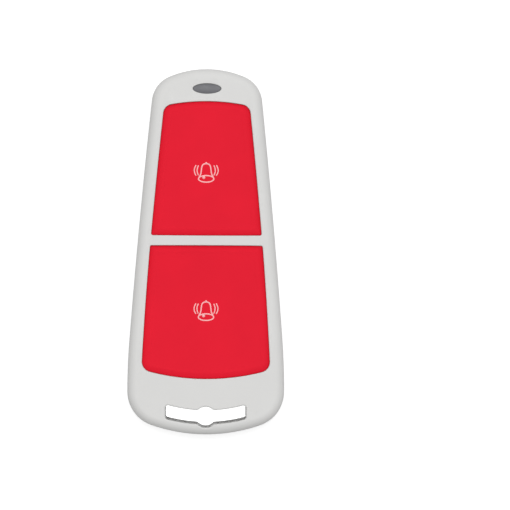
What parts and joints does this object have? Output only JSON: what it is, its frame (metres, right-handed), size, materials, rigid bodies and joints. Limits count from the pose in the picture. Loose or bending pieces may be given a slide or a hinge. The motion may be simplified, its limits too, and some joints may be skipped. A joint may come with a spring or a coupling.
{
  "type": "wireless alert pendant",
  "caption": "Flat tapering handheld alert pendant with large sprung push keys, a lamp window and a strap slot with a round cord hole",
  "frame": {"origin": "on the rest surface under the middle of the case's length and width", "axes": "+Z out of the key face, +Y towards the lamp end, +X to the right with the lamp end up"},
  "size_m": [0.0352, 0.082, 0.013],
  "materials": {
    "case_plastic": "fine spark-eroded texture, pale grey-white",
    "key_plastic": "satin red with a printed white symbol",
    "lens_plastic": "smoked translucent, polished",
    "seal_rubber": "matte black",
    "boot_rubber": "matte grey silicone",
    "screw_steel": "zinc plated",
    "label_film": "blank satin film",
    "board_laminate": "green solder mask over glass laminate",
    "switch_plastic": "moulded black",
    "contact_steel": "nickel plated",
    "cell_steel": "drawn can",
    "holder_plastic": "natural ivory",
    "chip_epoxy": "black epoxy",
    "antenna_brass": "gold plated",
    "capacitor_ceramic": "sintered brown",
    "led_plastic": "milky"
  },
  "bodies": {
    "case": {"front_cover": "case_plastic", "rear_cover": "case_plastic", "case_seal": "seal_rubber", "case_screws": "screw_steel", "rear_label": "label_film", "lamp_lens": "lens_plastic", "circuit_board": "board_laminate", "board_screws": "screw_steel", "status_led": "led_plastic", "coin_cell": "cell_steel", "battery_holder": "holder_plastic", "battery_clip": "contact_steel", "battery_contact": "contact_steel", "microcontroller": "chip_epoxy", "microcontroller_pins": "contact_steel", "shield_can": "contact_steel", "radio_chip": "chip_epoxy", "crystal": "contact_steel", "antenna_loop": "antenna_brass", "capacitors": "capacitor_ceramic", "resistors": "chip_epoxy", "upper_switch_housing": "switch_plastic", "upper_switch_plate": "contact_steel", "upper_switch_dome": "contact_steel", "upper_switch_terminals": "contact_steel", "upper_key_boot": "boot_rubber", "lower_switch_housing": "switch_plastic", "lower_switch_plate": "contact_steel", "lower_switch_dome": "contact_steel", "lower_switch_terminals": "contact_steel", "lower_key_boot": "boot_rubber"},
    "upper_key": {"upper_key": "key_plastic"},
    "lower_key": {"lower_key": "key_plastic"},
    "upper_plunger": {"upper_switch_plunger": "switch_plastic"},
    "lower_plunger": {"lower_switch_plunger": "switch_plastic"}
  },
  "joints": [
    {"name": "upper_key_press", "type": "slide", "parent": "case", "child": "upper_key", "axis": [0, 0, -1], "range_m": [0, 0.0005], "stiffness_N_per_m": 3000, "deforming": ["upper_key_boot"]},
    {"name": "upper_plunger_press", "type": "slide", "parent": "case", "child": "upper_plunger", "axis": [0, 0, -1], "range_m": [0, 0.00028], "deforming": ["upper_switch_dome"]},
    {"name": "lower_key_press", "type": "slide", "parent": "case", "child": "lower_key", "axis": [0, 0, -1], "range_m": [0, 0.0005], "stiffness_N_per_m": 3000, "deforming": ["lower_key_boot"]},
    {"name": "lower_plunger_press", "type": "slide", "parent": "case", "child": "lower_plunger", "axis": [0, 0, -1], "range_m": [0, 0.00028], "deforming": ["lower_switch_dome"]}
  ],
  "couplings": [
    {"joint": "upper_plunger_press", "follows": "upper_key_press", "ratio": 0.55},
    {"joint": "lower_plunger_press", "follows": "lower_key_press", "ratio": 0.55}
  ]
}
